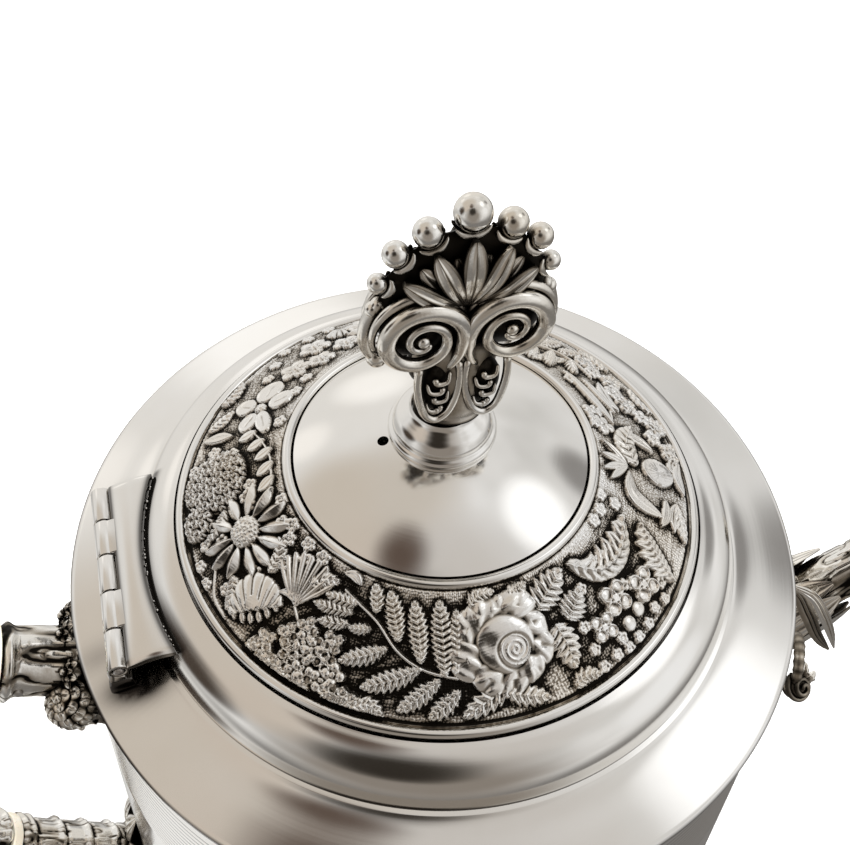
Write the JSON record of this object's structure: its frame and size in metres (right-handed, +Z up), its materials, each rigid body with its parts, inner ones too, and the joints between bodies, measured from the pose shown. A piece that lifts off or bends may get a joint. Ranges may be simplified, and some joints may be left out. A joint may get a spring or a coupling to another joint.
{
  "type": "teapot",
  "caption": "Silver-plated drum teapot: hinged domed lid with a flower band and fan finial, branch handle with insulators, branch spout.",
  "frame": {"origin": "on the table under the middle of the pot: bottom centre of the bounding box", "axes": "+Z up; +X towards the spout, the handle and the lid's hinge are on -X; +Y to the left of someone looking along +X"},
  "size_m": [0.2594, 0.1498, 0.2138],
  "materials": {
    "polished_silver": "hand-polished silver plate with faint spinning lines",
    "cast_silver": "cast and chased silver plate, blackened in its recesses",
    "inner_silver": "dull unpolished silver plate",
    "steel": "plain turned metal, a little tarnished",
    "ivory": "aged bone, satin"
  },
  "bodies": {
    "pot": {"body_wall": "polished_silver", "foot_ring": "polished_silver", "shoulder": "polished_silver", "hinge_pot_leaf": "polished_silver", "base_plate": "inner_silver", "mouth_collar": "inner_silver", "handle_upper_socket": "cast_silver", "handle_lower_socket": "cast_silver", "handle_grip": "cast_silver", "handle_flower_mount": "cast_silver", "handle_leaf_mount": "cast_silver", "spout": "cast_silver", "spout_leaf_cup": "cast_silver", "upper_insulator": "ivory", "lower_insulator": "ivory", "hinge_pin": "steel", "upper_socket_pin": "steel", "upper_grip_pin": "steel", "lower_grip_pin": "steel", "lower_socket_pin": "steel"},
    "lid": {"lid_rim": "polished_silver", "outer_bead": "polished_silver", "inner_bead": "polished_silver", "lid_dome": "polished_silver", "finial_foot": "polished_silver", "hinge_lid_leaf": "polished_silver", "lid_bezel": "inner_silver", "flower_band": "cast_silver", "finial_palmette": "cast_silver", "finial_stud": "steel", "finial_washer": "steel", "finial_nut": "steel"}
  },
  "joints": [
    {"name": "lid_hinge", "type": "hinge", "parent": "pot", "child": "lid", "pos_m": [-0.0558, 0, 0.147], "axis": [0, -1, 0], "range_deg": [0, 100]}
  ]
}
